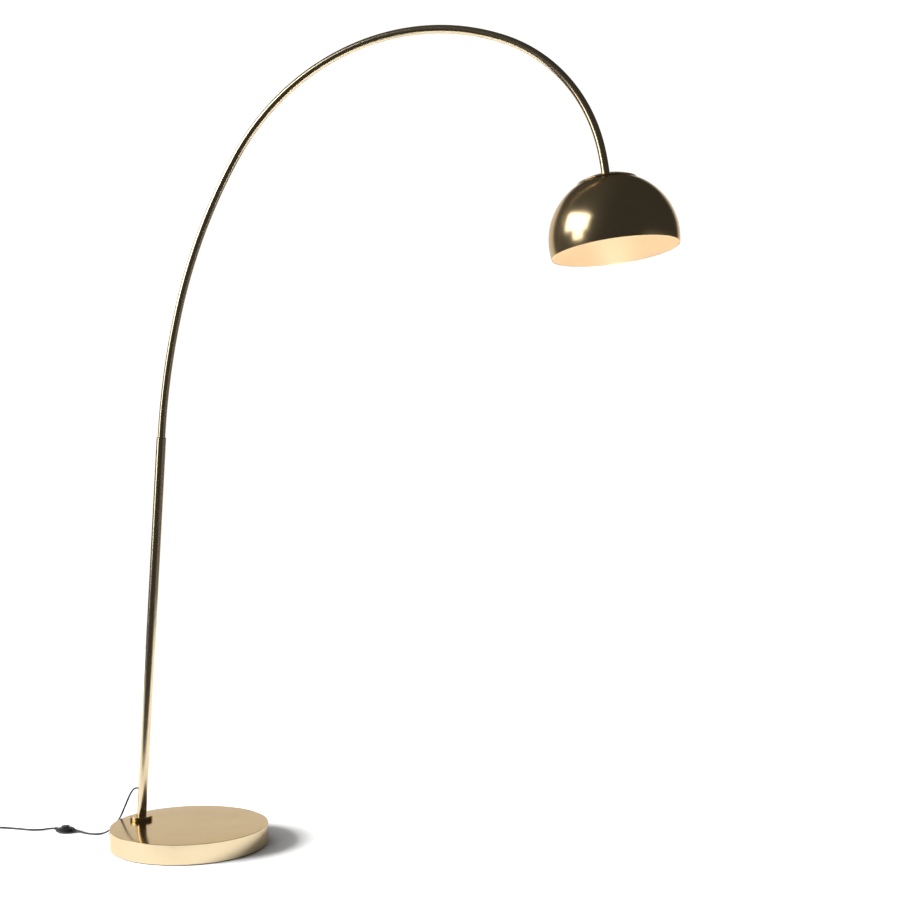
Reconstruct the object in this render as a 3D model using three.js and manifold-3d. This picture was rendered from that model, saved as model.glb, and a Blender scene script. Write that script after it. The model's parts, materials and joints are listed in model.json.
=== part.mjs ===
// Arc floor lamp: weighted round base, leaning pole, bent arc, tilting dome shade, lead with a floor switch.
// Millimetres, +Z up. Origin: centre of the base on the floor. +X points from the base towards the shade.
import * as THREE from 'three';
import { mergeVertices } from 'three/addons/utils/BufferGeometryUtils.js';
import Module from 'manifold-3d';

const wasm = await Module();
wasm.setup();

const DEG = Math.PI / 180;

// ---- clearances -------------------------------------------------------------------------------------------
const GAP = 0.3; // between pieces that touch on the real lamp
const RUN = 0.06; // radial clearance of a sliding or turning fit

// ---- base -------------------------------------------------------------------------------------------------
const base = {
  diameter: 400,
  height: 50,
  wall: 1.5,
  edgeRadius: 2,
  padThickness: 2,
  padInset: 2,
  plateThickness: 3,
  screwInset: 56, // from the base's edge to the plate screws
  screwCount: 3,
};
const M5 = { shank: 2.5, head: 4.8, headHeight: 2.4, length: 16 };

// ---- pole and its foot ------------------------------------------------------------------------------------
const pole = {
  diameter: 25,
  wall: 1.2,
  length: 995.5, // along the pole, from the base's top to the step
  lean: 3.1, // degrees towards the shade
  edgeDistance: 55.2, // from the pole's centre to the base's edge
};
const foot = {
  flangeRadius: 22,
  flangeHeight: 6,
  spigotLength: 34,
  stud: 5.9,
  studInset: 3, // from the ballast's underside up to the stud's end
  nutFlats: 19,
  nutHeight: 10,
};
const washer = { radius: 14, thickness: 2.5 };
const nutPocket = { radius: 18, depth: 17 };
const collar = { diameter: 57, height: 10, wall: 1.6 };
const leadHole = { height: 79.2, lip: 4.2, lipThickness: 1.2, play: 2, wall: 1.5 }; // the lead's outlet
const guide = { length: 60, lipThickness: 1.2, screwRadius: 2, screwDepth: 22 };

// ---- arc --------------------------------------------------------------------------------------------------
const arm = {
  diameter: 20,
  wall: 1.2,
  insert: 260, // straight length inside the pole
  bends: [[1793, 10.6], [1292, 19.0], [586, 80.9], [407, 54.0], [647, 5.25]], // [radius, degrees]
  steps: 20, // along a bend of 90 degrees
};
const armFoot = { length: 40, spigot: 20 };
const lead = { radius: 2.2, bend: 8.5, below: 30 }; // the lead held inside the tubes

// ---- shade and lampholder ---------------------------------------------------------------------------------
const dome = { radius: 151, wall: 1.2, openingBelowCentre: 28.3, holeAngle: 15.4, sides: 40 };
const seatRun = 0.5; // play between the dome and the ring that it turns on
const cap = { angle: 27, wall: 1.2, standOff: 1.8 };
const dish = { angle: 27.5, wall: 1.4, pad: 0.8, padInnerAngle: 26 };
const neck = { radius: 12, nipple: 5, nippleBore: 3, insert: 20, insertSlack: 1.4 };
const nippleInHolder = 6; // of the threaded nipple below the lampholder's roof
const leadInHolder = 8; // of the lead below the lampholder's roof
const seatWasher = { radius: 20, thickness: 2 };
const lockNut = { flats: 17, height: 4 };
const holder = {
  radius: 19.5,
  wall: 2,
  chamfer: 5,
  capHeight: 22,
  bodyHeight: 30,
  insulator: 5,
  wireHole: 1.5,
  shell: 13.9,
  shellWall: 0.5,
  shellInset: 3, // from the body's mouth to the threaded shell
  contact: [8, 5, 1],
};
const bulb = {
  capRadius: 13.2,
  capLength: 22,
  capTaper: 6,
  tipRadius: 4,
  tipHeight: 2,
  globeRadius: 27.5,
  neckAngle: 30, // where the globe runs into the neck, off the axis
  length: 98,
};

// ---- free lead with its foot switch, coil and plug --------------------------------------------------------
const cord = { radius: 2.5, sides: 8, step: 12 };
const cordToSwitch = [
  [-154.5, 0, 129.8], [-160, 0, 129.9], [-167.5, 0, 127.4], [-176, 0, 118], [-184, 0, 103.5],
  [-192, 0, 86.5], [-200.5, -0.2, 68], [-209.5, -0.6, 50], [-221, -1.5, 32.5], [-235, -3.6, 18],
  [-251, -7, 8], [-268, -11.4, 3.4], [-287, -14.6, 2.6], [-305, -14.8, 2.9], [-321, -13.8, 4.6],
  [-336, -13.5, 6.5],
];
const cordToCoil = [
  [-406, -13.5, 6.5], [-415, -14, 5.8], [-425, -16.6, 4.2], [-435, -21.4, 3], [-447, -28.6, 2.6],
  [-460, -34.4, 2.6], [-476, -37, 2.6], [-496, -37.6, 2.6], [-520, -39.4, 2.6], [-545, -42.6, 2.6],
  [-566, -44.8, 2.6], [-586, -46.2, 2.6], [-606, -47, 2.6], [-625, -47, 2.6],
];
const cordTail = [
  [-671.6, -88, 2.6], [-672.2, -99, 2.6], [-671, -112, 2.7], [-665.5, -124.5, 3.6], [-656, -133.6, 5],
  [-645, -138.4, 6.4], [-635, -139.6, 7],
];
const coil = { x: -632, y: -86, inner: 21.2, outer: 36.8, height: 15.4 };
const floorSwitch = {
  x: -371,
  y: -13.5,
  bottomRadius: 19,
  rimRadius: 25.4,
  rimHeight: 6.5,
  height: 12.5,
  wall: 1.6,
  buttonRadius: 10.6,
  buttonTop: 17.5,
  buttonSkin: 3, // thickness of the button's crown
  buttonBore: 6,
  buttonFlange: 1.2, // how far the button's flange reaches under the top shell
  buttonFlangeHeight: 1,
  flankInset: 1.4, // from the rim to the flank half way down
  shoulderInset: 2.4, // from the rim to the start of the top's slope
  shoulderRise: 2.8,
  crownInset: 8.4, // from the rim to the flat round the button
  crownDrop: 0.7,
};
const spring = { turns: 4, radius: 4, wire: 0.4, pointsPerTurn: 8 };
const terminals = { x: -13, size: [7, 14, 4] };
const blade = { x: 12.5, size: [9, 5, 2] };
const relief = { length: 9.3, inner: 5, bigRadius: 4.2, smallRadius: 3.1, neck: 3.3 };
const plug = {
  x: -609.5,
  y: -139.6,
  floorGap: 0.2,
  length: 32,
  width: 28,
  thickness: 13.6,
  noseWidth: 14, // across the end that the lead enters
  shoulder: 17.6, // from that end to the full width
  pinPitch: 19,
  pinRadius: 2,
  pinLength: 19,
  reliefLength: 25,
  reliefTip: 3.1,
  reliefRoot: 4.6,
};

// ---- materials --------------------------------------------------------------------------------------------
const finish = (color, roughness, metalness) =>
  () => new THREE.MeshStandardMaterial({ color, roughness, metalness });
const brass = finish(0xc9a86a, 0.28, 1);
const steel = finish(0x9a9a98, 0.4, 1);
const stone = finish(0x8d8a84, 0.95, 0);
const blackPlastic = finish(0x1c1c1c, 0.5, 0);
const rubber = finish(0x222222, 0.85, 0);
const nylon = finish(0x2a2a2a, 0.6, 0);
const white = finish(0xfff1dc, 0.55, 0);
const ceramic = finish(0xf0ece2, 0.4, 0);
const opal = finish(0xfff6e4, 0.3, 0);

// ---- geometry helpers -------------------------------------------------------------------------------------
/** Position-only geometry with shared vertices and no collapsed triangles. */
function tidy(geometry) {
  const bare = new THREE.BufferGeometry();
  bare.setAttribute('position', geometry.getAttribute('position').clone());
  if (geometry.index) bare.setIndex(geometry.index.clone());
  const merged = mergeVertices(bare, 1e-4);
  const kept = [];
  const index = merged.index.array;
  for (let i = 0; i < index.length; i += 3) {
    const [a, b, c] = [index[i], index[i + 1], index[i + 2]];
    if (a !== b && b !== c && c !== a) kept.push(a, b, c);
  }
  merged.setIndex(kept);
  return merged;
}

function solidOf(geometry) {
  const g = tidy(geometry);
  return new wasm.Manifold(new wasm.Mesh({
    numProp: 3,
    vertProperties: new Float32Array(g.getAttribute('position').array),
    triVerts: new Uint32Array(g.index.array),
  }));
}

function geometryOf(solid) {
  const mesh = solid.getMesh();
  const g = new THREE.BufferGeometry();
  g.setAttribute('position', new THREE.BufferAttribute(new Float32Array(mesh.vertProperties), 3));
  g.setIndex(Array.from(mesh.triVerts));
  return g;
}

const cut = (whole, ...tools) => geometryOf(tools.reduce((s, t) => s.subtract(solidOf(t)), solidOf(whole)));
const join = (whole, ...more) => geometryOf(more.reduce((s, t) => s.add(solidOf(t)), solidOf(whole)));

/** A turned solid about +Z from [radius, z] points that go out along the bottom and back over the top. */
function turned(profile, sides) {
  const points = profile.map(([r, z]) => new THREE.Vector2(r, z));
  return new THREE.LatheGeometry(points, sides).rotateX(Math.PI / 2).rotateZ(Math.PI / 2);
}

/** A turned ring: its [radius, z] outline closes on itself. */
const turnedRing = (outline, sides) => turned([...outline, outline[0]], sides);

const rod = (radius, z0, z1, sides = 24) => turned([[0, z0], [radius, z0], [radius, z1], [0, z1]], sides);
const sleeve = (inner, outer, z0, z1, sides = 24) =>
  turnedRing([[inner, z0], [outer, z0], [outer, z1], [inner, z1]], sides);
const block = (x, y, z, size) => new THREE.BoxGeometry(...size).translate(x, y, z);

/** The vertex radius of a bore whose flats clear a round of that radius. */
const boreFor = (radius, clearance, sides) => (radius + clearance) / Math.cos(Math.PI / sides);

function hexagon(flats, z0, z1, bore) {
  const outer = flats / 2 / Math.cos(30 * DEG);
  return cut(turned([[0, z0], [outer, z0], [outer, z1], [0, z1]], 6), rod(bore, z0 - 1, z1 + 1));
}

/** [radius, z] points on a sphere about the origin, from one angle off +Z to another, in degrees. */
function arcPoints(radius, from, to, steps) {
  const points = [];
  for (let i = 0; i <= steps; i += 1) {
    const a = (from + ((to - from) * i) / steps) * DEG;
    points.push([radius * Math.sin(a), radius * Math.cos(a)]);
  }
  return points;
}

/** A shell between two spheres about the origin, between two angles off +Z. */
const sphereShell = (inner, outer, from, to, steps, sides) =>
  turnedRing([...arcPoints(outer, to, from, steps), ...arcPoints(inner, from, to, steps)], sides);

/**
 * A line of straight ends and tangent bends in the XZ plane. Heading is the angle from +Z towards +X, and a
 * bend of negative radius turns back towards +Z. Each straight takes one step and each bend several.
 */
class BentPipe extends THREE.Curve {
  constructor({ start, straight, bends, tail = 0, heading = 0, steps }) {
    super();
    this.pieces = [];
    this.end = { place: new THREE.Vector2(...start), heading };
    const add = (length, radius, count) => {
      const piece = { ...this.end, length, radius, count };
      this.pieces.push(piece);
      this.end = this.along(piece, length);
    };
    add(straight, 0, 1);
    for (const [radius, degrees] of bends) {
      const turn = degrees * DEG;
      add(Math.abs(radius) * turn, radius, Math.max(2, Math.round((steps * degrees) / 90)));
    }
    if (tail > 0) add(tail, 0, 1);
    this.steps = this.pieces.reduce((sum, piece) => sum + piece.count, 0);
  }

  along({ place, heading, radius }, distance) {
    if (radius === 0) {
      const step = new THREE.Vector2(Math.sin(heading), Math.cos(heading)).multiplyScalar(distance);
      return { place: place.clone().add(step), heading };
    }
    const turned = heading + distance / radius;
    const across = radius * (Math.cos(heading) - Math.cos(turned));
    const up = radius * (Math.sin(turned) - Math.sin(heading));
    return { place: new THREE.Vector2(place.x + across, place.y + up), heading: turned };
  }

  getPoint(t, target = new THREE.Vector3()) {
    let left = t * this.steps;
    for (const piece of this.pieces) {
      if (left <= piece.count || piece === this.pieces.at(-1)) {
        const { place } = this.along(piece, (left / piece.count) * piece.length);
        return target.set(place.x, 0, place.y);
      }
      left -= piece.count;
    }
    return target;
  }

  getUtoTmapping(u) {
    return u;
  }
}

function circle(radius, sides) {
  const points = [];
  for (let i = 0; i < sides; i += 1) {
    const a = (i / sides) * 2 * Math.PI;
    points.push(new THREE.Vector2(radius * Math.cos(a), radius * Math.sin(a)));
  }
  return points;
}

/** A round bar, or a pipe when it has a bore, along a curve. */
function piped(curve, radius, bore, sides, steps) {
  const section = new THREE.Shape(circle(radius, sides));
  if (bore > 0) section.holes.push(new THREE.Path(circle(bore, sides)));
  return new THREE.ExtrudeGeometry(section, { steps, bevelEnabled: false, extrudePath: curve });
}

/** A smooth open line through [x, y, z] points. */
function routed(points) {
  const corners = points.map((p) => new THREE.Vector3(...p));
  return new THREE.CatmullRomCurve3(corners, false, 'centripetal');
}

const group = new THREE.Group();

function node(parent, name, geometry, material) {
  const mesh = new THREE.Mesh(tidy(geometry), material());
  mesh.name = name;
  parent.add(mesh);
  return mesh;
}

function place(parent, x, y, z, turnY = 0) {
  const child = new THREE.Group();
  child.position.set(x, y, z);
  child.rotation.y = turnY;
  parent.add(child);
  return child;
}

// ---- derived places ---------------------------------------------------------------------------------------
const baseRadius = base.diameter / 2;
const lean = pole.lean * DEG;
const poleX = pole.edgeDistance - baseRadius;
const poleRadius = pole.diameter / 2;
const poleBore = poleRadius - pole.wall;
const armRadius = arm.diameter / 2;
const armBore = armRadius - arm.wall;
const plateBottom = base.padThickness + GAP;
const plateTop = plateBottom + base.plateThickness;
const ballastBottom = plateTop + GAP;
const coverUnderside = base.height - base.wall;
const insideRadius = baseRadius - base.wall - GAP;
const pocketTop = ballastBottom + nutPocket.depth;
const leaning = (geometry) => geometry.rotateY(lean);
const levelInPole = (geometry) => geometry.rotateY(-lean);

// ---- base -------------------------------------------------------------------------------------------------
function makeBase() {
  const screwCircle = baseRadius - base.screwInset;
  const screws = Array.from({ length: base.screwCount }, (_, i) => {
    const a = (i / base.screwCount) * 2 * Math.PI;
    return [screwCircle * Math.cos(a), screwCircle * Math.sin(a)];
  });
  const screwHead = (grow, down) => turned([
    [0, plateBottom - down],
    [M5.head + grow, plateBottom - down],
    [M5.head + grow, plateBottom + 0.1],
    [M5.shank + grow, plateBottom + 0.1 + M5.headHeight],
    [0, plateBottom + 0.1 + M5.headHeight],
  ], 16);
  const screwHoles = screws.flatMap(([x, y]) => [
    screwHead(GAP, 1).translate(x, y, 0),
    rod(M5.shank + GAP, plateBottom, plateBottom + M5.length + 1, 16).translate(x, y, 0),
  ]);

  node(group, 'floor_pad', rod(baseRadius - base.padInset, 0, base.padThickness, 36), rubber);
  node(group, 'base_plate', cut(
    rod(insideRadius, plateBottom, plateTop, 48),
    rod(nutPocket.radius, plateBottom - 1, plateTop + 1).translate(poleX, 0, 0),
    ...screwHoles,
  ), steel);
  node(group, 'ballast_disc', cut(
    rod(insideRadius, ballastBottom, coverUnderside - GAP, 48),
    rod(nutPocket.radius, ballastBottom - 1, pocketTop).translate(poleX, 0, 0),
    rod(foot.stud + GAP, ballastBottom, base.height).translate(poleX, 0, 0),
    ...screwHoles,
  ), stone);

  const r = base.edgeRadius;
  const edge = arcPoints(r, 90, 0, 3).map(([x, z]) => [baseRadius - r + x, base.height - r + z]);
  node(group, 'base_cover', cut(
    turned([
      [0, coverUnderside],
      [baseRadius - base.wall, coverUnderside],
      [baseRadius - base.wall, base.padThickness],
      [baseRadius, base.padThickness],
      ...edge,
      [0, base.height],
    ], 48),
    rod(foot.stud + GAP, 0, base.height + 1).translate(poleX, 0, 0),
  ), brass);

  screws.forEach(([x, y], i) => {
    const shank = rod(M5.shank, plateBottom + 0.2, plateBottom + M5.length, 16);
    node(group, `plate_screw_${i + 1}`, join(screwHead(0, -0.1), shank).translate(x, y, 0), steel);
  });
}

// ---- pole foot and pole -----------------------------------------------------------------------------------
function makePole(footFrame, poleFrame) {
  const flangeTop = foot.flangeHeight + GAP;
  const spigotRadius = poleBore * Math.cos(Math.PI / 24) - GAP;
  const studEnd = ballastBottom + foot.studInset - base.height;
  node(footFrame, 'pole_foot', join(
    rod(foot.flangeRadius, GAP, flangeTop, 24),
    rod(foot.stud, studEnd, GAP + 1),
    leaning(rod(spigotRadius, 2, flangeTop + foot.spigotLength)),
  ), steel);

  const ceiling = pocketTop - base.height - GAP;
  const bore = boreFor(foot.stud, GAP, 24);
  node(footFrame, 'foot_washer', sleeve(bore, washer.radius, ceiling - washer.thickness, ceiling), steel);
  const nutTop = ceiling - washer.thickness - GAP;
  node(footFrame, 'foot_nut', hexagon(foot.nutFlats, nutTop - foot.nutHeight, nutTop, bore), steel);

  const collarRadius = collar.diameter / 2;
  const roof = GAP + collar.height - collar.wall;
  node(footFrame, 'pole_collar', cut(
    rod(collarRadius, GAP, GAP + collar.height, 36),
    rod(collarRadius - collar.wall, 0, roof, 36),
    leaning(rod(boreFor(poleRadius, GAP, 24), 0, collar.height * 2, 24)),
  ), brass);

  const outlet = leadHole.height;
  const sideways = (geometry) => geometry.rotateY(-Math.PI / 2).translate(0, 0, outlet);
  const reach = baseRadius;
  const screwZ = pole.length - guide.screwDepth;
  const screwHole = rod(boreFor(guide.screwRadius, RUN, 12), 5, poleRadius + 2, 12)
    .rotateY(-Math.PI / 2).translate(0, 0, screwZ);
  const below = levelInPole(block(0, 0, flangeTop + GAP - reach / 2, [reach, reach, reach]));
  node(poleFrame, 'pole_tube', cut(
    sleeve(poleBore, poleRadius, -foot.flangeHeight, pole.length, 24),
    below,
    sideways(rod(cord.radius + leadHole.play, armBore / 2, poleRadius + 2)),
    screwHole,
  ), brass);

  const flat = poleRadius * Math.cos(Math.PI / 24);
  node(poleFrame, 'lead_grommet', sideways(turnedRing([
    [cord.radius + GAP, poleBore - 2],
    [cord.radius + leadHole.wall, poleBore - 2],
    [cord.radius + leadHole.wall, flat + GAP],
    [leadHole.lip, flat + GAP],
    [leadHole.lip, flat + GAP + leadHole.lipThickness],
    [cord.radius + GAP, flat + GAP + leadHole.lipThickness],
  ], 16)), rubber);

  const guideOuter = poleBore - GAP;
  const guideBore = boreFor(armRadius, RUN, 24);
  node(poleFrame, 'pole_guide_bush', cut(turnedRing([
    [guideBore, pole.length - guide.length],
    [guideOuter, pole.length - guide.length],
    [guideOuter, pole.length + GAP],
    [poleRadius - 0.2, pole.length + GAP],
    [poleRadius - 0.2, pole.length + GAP + guide.lipThickness],
    [guideBore, pole.length + GAP + guide.lipThickness],
  ], 24), screwHole), nylon);
  node(poleFrame, 'guide_grub_screw', rod(guide.screwRadius, guideBore + 0.1, poleRadius + 0.4, 12)
    .rotateY(-Math.PI / 2).translate(0, 0, screwZ), steel);

  const leadTop = pole.length - arm.insert - armFoot.length - lead.below;
  const inlet = flat + GAP + leadHole.lipThickness;
  const lowerLead = new BentPipe({
    start: [-inlet, outlet],
    heading: 90 * DEG,
    straight: inlet - lead.bend,
    bends: [[-lead.bend, 90]],
    tail: leadTop - outlet - lead.bend,
    steps: 6,
  });
  node(poleFrame, 'lead_in_pole', piped(lowerLead, lead.radius, 0, 8, lowerLead.steps), rubber);
}

// ---- arc --------------------------------------------------------------------------------------------------
function makeArc(poleFrame, leadTail) {
  const start = pole.length - arm.insert;
  const curve = new BentPipe({ start: [0, start], straight: arm.insert, bends: arm.bends, steps: arm.steps });
  node(poleFrame, 'arc_tube', piped(curve, armRadius, armBore, 12, curve.steps), brass);

  const bushTop = start - GAP;
  const bushRadius = poleBore * Math.cos(Math.PI / 24) - RUN;
  const spigot = armBore * Math.cos(Math.PI / 12) - RUN;
  const leadBore = boreFor(lead.radius, GAP, 24);
  node(poleFrame, 'arc_foot_bush', turnedRing([
    [leadBore, bushTop - armFoot.length],
    [bushRadius, bushTop - armFoot.length],
    [bushRadius, bushTop],
    [spigot, bushTop],
    [spigot, bushTop + armFoot.spigot],
    [leadBore, bushTop + armFoot.spigot],
  ], 24), nylon);

  const leadStart = start - armFoot.length - lead.below + GAP;
  const leadCurve = new BentPipe({
    start: [0, leadStart],
    straight: pole.length - leadStart,
    bends: arm.bends,
    tail: leadTail,
    steps: arm.steps,
  });
  node(poleFrame, 'lead_in_arc', piped(leadCurve, lead.radius, 0, 8, leadCurve.steps), rubber);
  return curve.end;
}

// ---- shade ------------------------------------------------------------------------------------------------
function makeShade(shade, top, holderTop) {
  const capOuter = dome.radius + cap.standOff + cap.wall;
  const capInner = capOuter - cap.wall;
  const nippleAngle = Math.asin(boreFor(neck.nipple, GAP, 24) / capInner) / DEG;
  node(shade, 'shade_cap', sphereShell(capInner, capOuter, nippleAngle, cap.angle, 4, 40), brass);

  const insertRadius = armBore - neck.insertSlack;
  const holderMouth = holderTop - holder.wall - nippleInHolder;
  node(shade, 'arc_end_fitting', cut(
    join(rod(insertRadius, top, top + neck.insert), rod(neck.nipple, holderMouth, top + 1)),
    rod(neck.nippleBore, holderMouth - 1, top + neck.insert + 1, 16),
  ), steel);

  const domeInner = dome.radius - dome.wall;
  const padOuter = domeInner - seatRun;
  const dishOuter = padOuter - dish.pad - GAP;
  const dishInner = dishOuter - dish.wall;
  const washerTop = dishInner * Math.cos(Math.asin(seatWasher.radius / dishInner)) - GAP;
  const sleeveTop = capInner * Math.cos(Math.asin(neck.radius / capInner)) - GAP;
  const nippleHole = boreFor(neck.nipple, GAP, 24);
  node(shade, 'neck_sleeve', sleeve(nippleHole, neck.radius, washerTop + GAP, sleeveTop), steel);
  const washerBottom = washerTop - seatWasher.thickness;
  node(shade, 'seat_washer', sleeve(nippleHole, seatWasher.radius, washerBottom, washerTop), steel);
  const nutTop = washerBottom - GAP;
  node(shade, 'neck_lock_nut', hexagon(lockNut.flats, nutTop - lockNut.height, nutTop, nippleHole), steel);

  const dishAngle = Math.asin(boreFor(neck.radius, RUN, 40) / dishInner) / DEG;
  node(shade, 'carrier_dish', sphereShell(dishInner, dishOuter, dishAngle, dish.angle, 4, 40), white);
  node(shade, 'friction_ring',
    sphereShell(padOuter - dish.pad, padOuter, dish.padInnerAngle, dish.angle, 1, 40), nylon);

  const openingAngle = 90 + Math.asin(dome.openingBelowCentre / dome.radius) / DEG;
  const innerRim = Math.sqrt(domeInner ** 2 - dome.openingBelowCentre ** 2);
  const innerAngle = 90 + Math.atan(dome.openingBelowCentre / innerRim) / DEG;
  const seatEdge = dish.angle + dome.holeAngle;
  node(shade, 'shade_dome', turnedRing([
    ...arcPoints(dome.radius, openingAngle, seatEdge, 7),
    ...arcPoints(dome.radius, seatEdge, dome.holeAngle, 6).slice(1),
    ...arcPoints(domeInner, dome.holeAngle, seatEdge, 6),
    ...arcPoints(domeInner, seatEdge, innerAngle, 7).slice(1),
  ], dome.sides), brass);
}

// ---- lampholder and bulb ----------------------------------------------------------------------------------
function makeLampholder(shade, holderTop) {
  const nippleHole = boreFor(neck.nipple, GAP, 24);
  const inner = holder.radius - holder.wall;
  const capBottom = holderTop - holder.capHeight;
  node(shade, 'lampholder_cap', turnedRing([
    [inner, capBottom],
    [holder.radius, capBottom],
    [holder.radius, holderTop - holder.chamfer],
    [holder.radius - holder.chamfer, holderTop],
    [nippleHole, holderTop],
    [nippleHole, holderTop - holder.wall],
    [inner - holder.chamfer + 1, holderTop - holder.wall],
    [inner, holderTop - holder.wall - holder.chamfer + 1],
  ], 24), ceramic);
  const bodyTop = capBottom - GAP;
  const bodyBottom = bodyTop - holder.bodyHeight;
  const insulatorBottom = bodyTop - holder.insulator;
  node(shade, 'lampholder_body', turnedRing([
    [inner, bodyBottom],
    [holder.radius, bodyBottom],
    [holder.radius, bodyTop],
    [inner, bodyTop],
  ], 24), ceramic);
  const shellOuter = holder.shell + holder.shellWall;
  node(shade, 'lampholder_insulator', cut(
    rod(inner - GAP, insulatorBottom, bodyTop, 24),
    rod(holder.wireHole, insulatorBottom - 1, bodyTop + 1, 12).translate(inner / 2, 0, 0),
    rod(holder.wireHole, insulatorBottom - 1, bodyTop + 1, 12).translate(-inner / 2, 0, 0),
  ), ceramic);
  node(shade, 'lampholder_thread_shell',
    sleeve(holder.shell, shellOuter, bodyBottom + holder.shellInset, insulatorBottom - GAP, 24), brass);
  const contactThickness = holder.contact[2];
  const contactZ = insulatorBottom - GAP - contactThickness / 2;
  node(shade, 'lampholder_contact', block(0, 0, contactZ, holder.contact), brass);

  const bulbTop = insulatorBottom - GAP * 2 - contactThickness;
  const capEnd = bulbTop - bulb.capLength;
  node(shade, 'bulb_cap', turned([
    [0, capEnd],
    [bulb.capRadius, capEnd],
    [bulb.capRadius, bulbTop - bulb.capTaper],
    [bulb.tipRadius, bulbTop - bulb.tipHeight],
    [bulb.tipRadius, bulbTop],
    [0, bulbTop],
  ], 24), steel);
  const globe = bulbTop - bulb.length + bulb.globeRadius;
  node(shade, 'bulb_glass', turned([
    ...arcPoints(bulb.globeRadius, 180, bulb.neckAngle, 8).map(([r, z]) => [r, z + globe]),
    [bulb.capRadius, capEnd - GAP],
    [0, capEnd - GAP],
  ], 24), opal);
}

// ---- foot switch ------------------------------------------------------------------------------------------
function makeSwitch() {
  const s = floorSwitch;
  const frame = place(group, s.x, s.y, 0);
  const leadwayRadius = relief.neck + GAP;
  const leadway = () => rod(leadwayRadius, -s.rimRadius - 5, s.rimRadius + 5, 16)
    .rotateY(Math.PI / 2).translate(0, 0, s.rimHeight);
  const split = GAP / 2;
  node(frame, 'switch_bottom_shell', cut(turned([
    [0, 0],
    [s.bottomRadius, 0],
    [s.rimRadius - s.flankInset, s.rimHeight / 2],
    [s.rimRadius, s.rimHeight - split],
    [s.rimRadius - s.wall, s.rimHeight - split],
    [s.rimRadius - s.flankInset - s.wall, s.rimHeight / 2],
    [s.bottomRadius - 1, s.wall],
    [0, s.wall],
  ], 28), leadway()), blackPlastic);
  const opening = boreFor(s.buttonRadius, RUN * 2, 28);
  node(frame, 'switch_top_shell', cut(turnedRing([
    [s.rimRadius - s.wall, s.rimHeight + split],
    [s.rimRadius, s.rimHeight + split],
    [s.rimRadius - s.shoulderInset, s.rimHeight + s.shoulderRise],
    [s.rimRadius - s.crownInset, s.height - s.crownDrop],
    [opening + s.flankInset, s.height],
    [opening, s.height],
    [opening, s.height - s.wall],
    [s.rimRadius - s.crownInset, s.height - s.crownDrop - s.wall],
    [s.rimRadius - s.shoulderInset - s.wall, s.rimHeight + s.shoulderRise - 1],
  ], 28), leadway()), blackPlastic);

  const flangeTop = s.height - s.wall - GAP;
  const skirt = flangeTop - s.buttonFlangeHeight;
  const crownUnderside = s.buttonTop - s.buttonSkin;
  node(frame, 'switch_button', turned([
    [0, crownUnderside],
    [s.buttonBore, crownUnderside],
    [s.buttonBore, skirt],
    [s.buttonRadius + s.buttonFlange, skirt],
    [s.buttonRadius + s.buttonFlange, flangeTop],
    [s.buttonRadius, flangeTop],
    [s.buttonRadius, s.buttonTop - 1.2],
    [s.buttonRadius - 1.2, s.buttonTop - 0.3],
    [0, s.buttonTop],
  ], 24), blackPlastic);

  const floorTop = s.wall + GAP;
  const springRise = crownUnderside - GAP - floorTop - 2 * spring.wire;
  const springPoints = spring.turns * spring.pointsPerTurn;
  const helix = Array.from({ length: springPoints + 1 }, (_, i) => {
    const a = (i / spring.pointsPerTurn) * 2 * Math.PI;
    const z = floorTop + spring.wire + (springRise * i) / springPoints;
    return [spring.radius * Math.cos(a), spring.radius * Math.sin(a), z];
  });
  node(frame, 'switch_spring', piped(routed(helix), spring.wire, 0, 5, 40), steel);
  const onFloor = ({ x, size }) => block(x, 0, floorTop + size[2] / 2, size);
  node(frame, 'switch_terminal_block', onFloor(terminals), blackPlastic);
  node(frame, 'switch_contact_blade', onFloor(blade), brass);

  for (const [side, name] of [[1, 'switch_relief_in'], [-1, 'switch_relief_out']]) {
    const inside = s.rimRadius - relief.inner;
    const outside = s.rimRadius + relief.length;
    const body = turned([
      [0, inside],
      [relief.neck, inside],
      [relief.neck, s.rimRadius + 0.2],
      [relief.bigRadius, s.rimRadius + 0.2],
      [relief.smallRadius, outside],
      [0, outside],
    ], 16);
    node(frame, name, body.rotateY((side * Math.PI) / 2).translate(0, 0, s.rimHeight), rubber);
  }
}

// ---- free lead, coil and plug -----------------------------------------------------------------------------
function makeCord() {
  const strand = (name, points) => {
    const curve = routed(points);
    const steps = Math.ceil(curve.getLength() / cord.step);
    node(group, name, piped(curve, cord.radius, 0, cord.sides, steps), rubber);
  };
  strand('cord_to_switch', cordToSwitch);
  strand('cord_to_coil', cordToCoil);
  strand('cord_tail', cordTail);

  const c = coil;
  const soften = 3;
  node(group, 'cord_coil', turnedRing([
    [c.inner + soften, 0],
    [c.outer - soften, 0],
    [c.outer, soften],
    [c.outer, c.height - soften],
    [c.outer - soften, c.height],
    [c.inner + soften, c.height],
    [c.inner, c.height - soften],
    [c.inner, soften],
  ], 24).translate(c.x, c.y, 0), rubber);
}

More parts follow.
